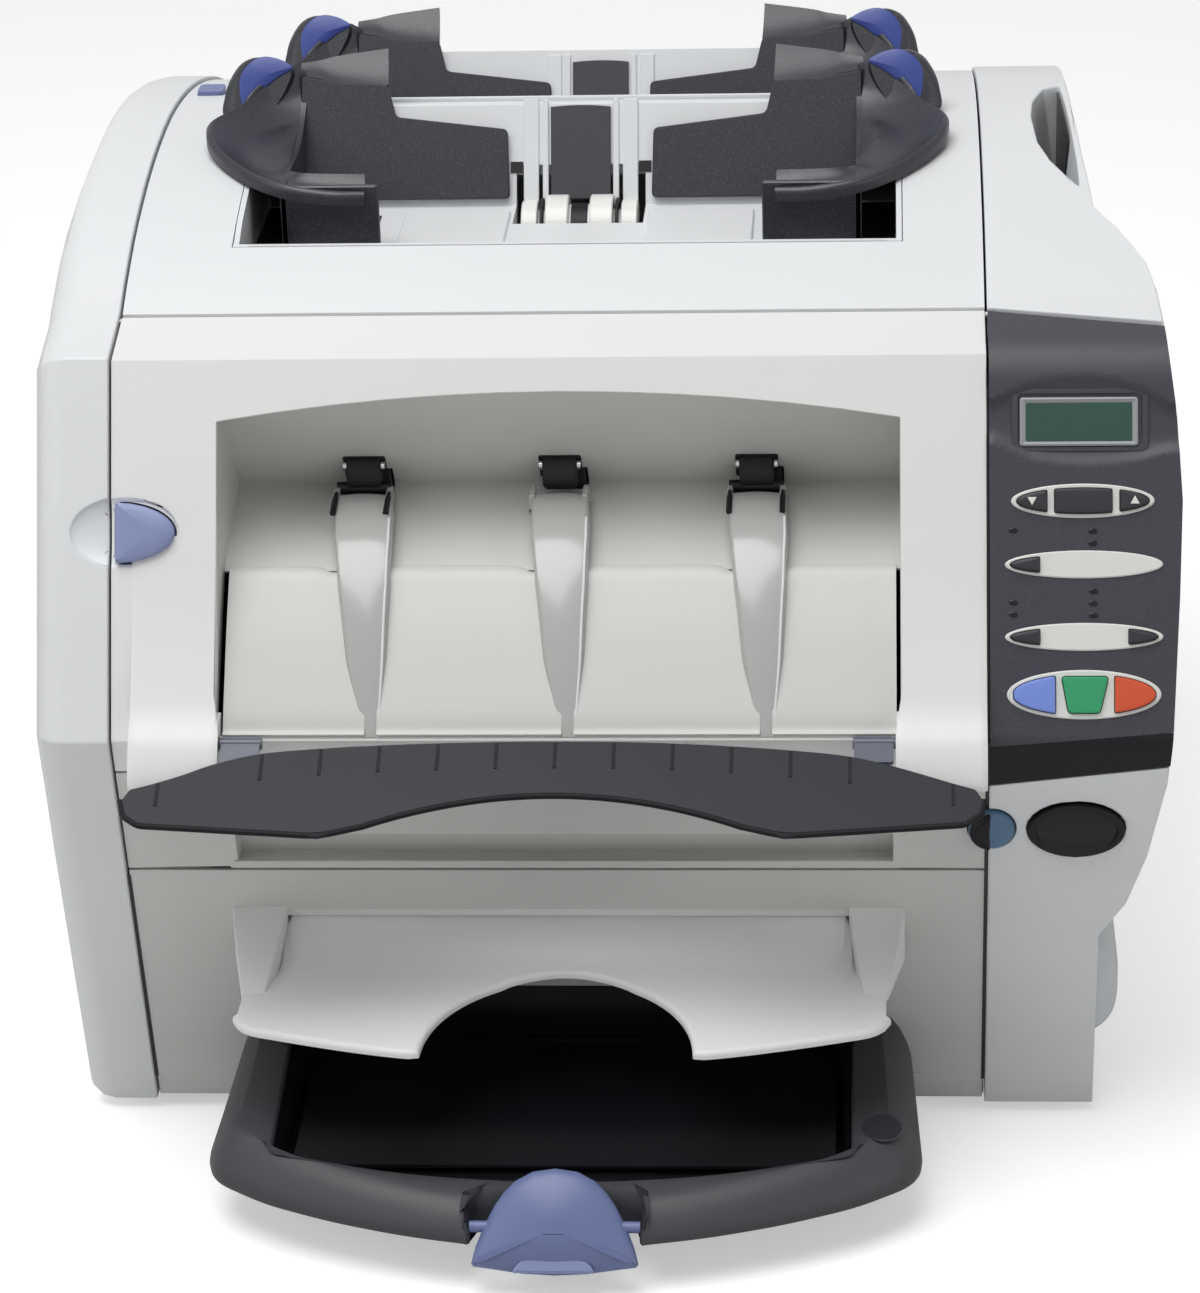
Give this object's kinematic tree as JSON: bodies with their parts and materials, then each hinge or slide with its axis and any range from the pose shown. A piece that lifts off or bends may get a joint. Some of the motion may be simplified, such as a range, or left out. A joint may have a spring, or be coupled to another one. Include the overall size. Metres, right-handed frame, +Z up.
{
  "type": "folder inserter",
  "caption": "Desk-top folding and inserting machine with two top hoppers, a lifting front door and smoked exit flap, a manual-feed shelf, a sheet tray and a side control panel.",
  "frame": {"origin": "centre of the overall box at the table surface, under the rubber feet", "axes": "+Z up, +Y from the front towards the rear, +X towards the control panel side"},
  "size_m": [0.4336, 0.5246, 0.3803],
  "materials": {
    "sheet_steel": "plain zinc-coated sheet",
    "white_cover": "fine satin grain, off-white",
    "beige_cover": "fine satin grain, warm light grey",
    "dark_plastic": "dark grey, lightly textured",
    "roller_rubber": "dull black rubber",
    "roller_white": "white moulded roller",
    "finger_white": "smooth white moulding",
    "smoked_plastic": "clear smoked plastic, polished",
    "blue_plastic": "soft blue, satin",
    "petal_blue": "deep blue, satin",
    "latch_teal": "teal blue, satin",
    "panel_plastic": "dark textured panel",
    "display_face": "green liquid crystal face",
    "window_plastic": "polished dark plastic",
    "key_black": "dark key cap",
    "key_blue": "blue key cap",
    "key_green": "green key cap",
    "key_red": "orange-red key cap",
    "bottle_white": "milky bluish white",
    "foot_rubber": "black rubber"
  },
  "bodies": {
    "machine": {"base_pan": "sheet_steel", "side_plate_left": "sheet_steel", "side_plate_right": "sheet_steel", "fold_unit": "dark_plastic", "left_side_cover": "white_cover", "right_side_cover": "white_cover", "top_cover": "white_cover", "rear_cover": "white_cover", "middle_cover": "beige_cover", "lower_cover": "beige_cover", "manual_shelf": "beige_cover", "sheet_tray": "dark_plastic", "control_panel": "panel_plastic", "display": "display_face", "oval_window": "window_plastic", "power_inlet": "roller_rubber", "envelope_well": "white_cover", "envelope_marker": "dark_plastic", "insert_well": "white_cover", "insert_marker": "dark_plastic", "foot_front_left": "foot_rubber", "foot_front_right": "foot_rubber", "foot_rear_left": "foot_rubber", "foot_rear_right": "foot_rubber"},
    "front_door": {"front_door": "beige_cover", "exit_chute": "beige_cover", "exit_apron": "beige_cover", "exit_finger_1": "finger_white", "exit_finger_2": "finger_white", "exit_finger_3": "finger_white"},
    "exit_flap": {"exit_flap": "smoked_plastic"},
    "door_button": {"door_button": "blue_plastic"},
    "exit_rollers": {"exit_rollers": "roller_rubber"},
    "fold_roller": {"fold_roller": "roller_rubber"},
    "sheet_tongue": {"tray_tongue": "blue_plastic"},
    "paper_plate": {"paper_plate": "dark_plastic"},
    "top_button": {"top_button": "blue_plastic"},
    "side_latch": {"side_latch": "latch_teal"},
    "fluid_bottle": {"fluid_bottle": "bottle_white"},
    "power_switch": {"power_switch": "key_black"},
    "envelope_rollers": {"envelope_rollers": "roller_white"},
    "envelope_guide_right": {"envelope_guide_right": "dark_plastic", "envelope_petal_right": "petal_blue"},
    "envelope_guide_left": {"envelope_guide_left": "dark_plastic", "envelope_petal_left": "petal_blue"},
    "insert_rollers": {"insert_rollers": "roller_white"},
    "insert_guide_right": {"insert_guide_right": "dark_plastic", "insert_petal_right": "petal_blue"},
    "insert_guide_left": {"insert_guide_left": "dark_plastic", "insert_petal_left": "petal_blue"},
    "key_down": {"key_down": "key_black"},
    "key_menu": {"key_menu": "key_black"},
    "key_up": {"key_up": "key_black"},
    "key_feeder": {"key_feeder": "key_black"},
    "key_seal": {"key_seal": "key_black"},
    "key_fold": {"key_fold": "key_black"},
    "key_trial": {"key_trial": "key_blue"},
    "key_start": {"key_start": "key_green"},
    "key_stop": {"key_stop": "key_red"}
  },
  "joints": [
    {"name": "door_hinge", "type": "hinge", "parent": "machine", "child": "front_door", "pos_m": [-0.0169, -0.06829, 0.31715], "axis": [-1, 0, 0], "range_deg": [0, 55]},
    {"name": "flap_hinge", "type": "hinge", "parent": "front_door", "child": "exit_flap", "pos_m": [-0.0169, -0.16334, 0.183], "axis": [-1, 0, 0], "range_deg": [0, 60]},
    {"name": "door_button_press", "type": "slide", "parent": "front_door", "child": "door_button", "axis": [0, 0.8999, -0.4361], "range_m": [0, 0.0025], "stiffness_N_per_m": 600},
    {"name": "exit_rollers_spin", "type": "hinge", "parent": "front_door", "child": "exit_rollers", "pos_m": [-0.0169, -0.05884, 0.253], "axis": [1, 0, 0], "continuous": true},
    {"name": "fold_roller_spin", "type": "hinge", "parent": "machine", "child": "fold_roller", "pos_m": [-0.0169, -0.07434, 0.192], "axis": [1, 0, 0], "continuous": true},
    {"name": "envelope_rollers_spin", "type": "hinge", "parent": "machine", "child": "envelope_rollers", "pos_m": [-0.0169, 0.04966, 0.311], "axis": [1, 0, 0], "continuous": true},
    {"name": "envelope_guide_right_slide", "type": "slide", "parent": "machine", "child": "envelope_guide_right", "axis": [1, 0, 0], "range_m": [-0.012, 0.008]},
    {"name": "envelope_guide_left_slide", "type": "slide", "parent": "machine", "child": "envelope_guide_left", "axis": [1, 0, 0], "range_m": [-0.008, 0.012]},
    {"name": "insert_rollers_spin", "type": "hinge", "parent": "machine", "child": "insert_rollers", "pos_m": [-0.0169, 0.17766, 0.291], "axis": [1, 0, 0], "continuous": true},
    {"name": "insert_guide_right_slide", "type": "slide", "parent": "machine", "child": "insert_guide_right", "axis": [1, 0, 0], "range_m": [-0.004, 0.018]},
    {"name": "insert_guide_left_slide", "type": "slide", "parent": "machine", "child": "insert_guide_left", "axis": [1, 0, 0], "range_m": [-0.018, 0.004]},
    {"name": "tongue_hinge", "type": "hinge", "parent": "machine", "child": "sheet_tongue", "pos_m": [-0.0169, -0.24934, 0.025], "axis": [1, 0, 0], "range_deg": [0, 35]},
    {"name": "plate_hinge", "type": "hinge", "parent": "machine", "child": "paper_plate", "pos_m": [-0.0169, -0.20734, 0.0245], "axis": [1, 0, 0], "range_deg": [0, 6]},
    {"name": "top_button_press", "type": "slide", "parent": "machine", "child": "top_button", "axis": [0, 0, -1], "range_m": [0, 0.002], "stiffness_N_per_m": 500},
    {"name": "latch_turn", "type": "hinge", "parent": "machine", "child": "side_latch", "pos_m": [0.1463, -0.15934, 0.1415], "axis": [0, 1, 0], "range_deg": [0, 90]},
    {"name": "bottle_slide", "type": "slide", "parent": "machine", "child": "fluid_bottle", "axis": [1, 0, 0], "range_m": [0, 0.04]},
    {"name": "switch_rock", "type": "hinge", "parent": "machine", "child": "power_switch", "pos_m": [0.1181, 0.24796, 0.045], "axis": [1, 0, 0], "range_deg": [0, 16]},
    {"name": "key_down_press", "type": "slide", "parent": "machine", "child": "key_down", "axis": [0, 0.8999, -0.4361], "range_m": [0, 0.001], "stiffness_N_per_m": 300},
    {"name": "key_menu_press", "type": "slide", "parent": "machine", "child": "key_menu", "axis": [0, 0.8999, -0.4361], "range_m": [0, 0.001], "stiffness_N_per_m": 300},
    {"name": "key_up_press", "type": "slide", "parent": "machine", "child": "key_up", "axis": [0, 0.8999, -0.4361], "range_m": [0, 0.001], "stiffness_N_per_m": 300},
    {"name": "key_feeder_press", "type": "slide", "parent": "machine", "child": "key_feeder", "axis": [0, 0.8999, -0.4361], "range_m": [0, 0.001], "stiffness_N_per_m": 300},
    {"name": "key_seal_press", "type": "slide", "parent": "machine", "child": "key_seal", "axis": [0, 0.8999, -0.4361], "range_m": [0, 0.001], "stiffness_N_per_m": 300},
    {"name": "key_fold_press", "type": "slide", "parent": "machine", "child": "key_fold", "axis": [0, 0.8999, -0.4361], "range_m": [0, 0.001], "stiffness_N_per_m": 300},
    {"name": "key_trial_press", "type": "slide", "parent": "machine", "child": "key_trial", "axis": [0, 0.8999, -0.4361], "range_m": [0, 0.001], "stiffness_N_per_m": 300},
    {"name": "key_start_press", "type": "slide", "parent": "machine", "child": "key_start", "axis": [0, 0.8999, -0.4361], "range_m": [0, 0.001], "stiffness_N_per_m": 300},
    {"name": "key_stop_press", "type": "slide", "parent": "machine", "child": "key_stop", "axis": [0, 0.8999, -0.4361], "range_m": [0, 0.001], "stiffness_N_per_m": 300}
  ],
  "couplings": [
    {"joint": "envelope_guide_left_slide", "follows": "envelope_guide_right_slide", "ratio": -1},
    {"joint": "insert_guide_left_slide", "follows": "insert_guide_right_slide", "ratio": -1}
  ]
}
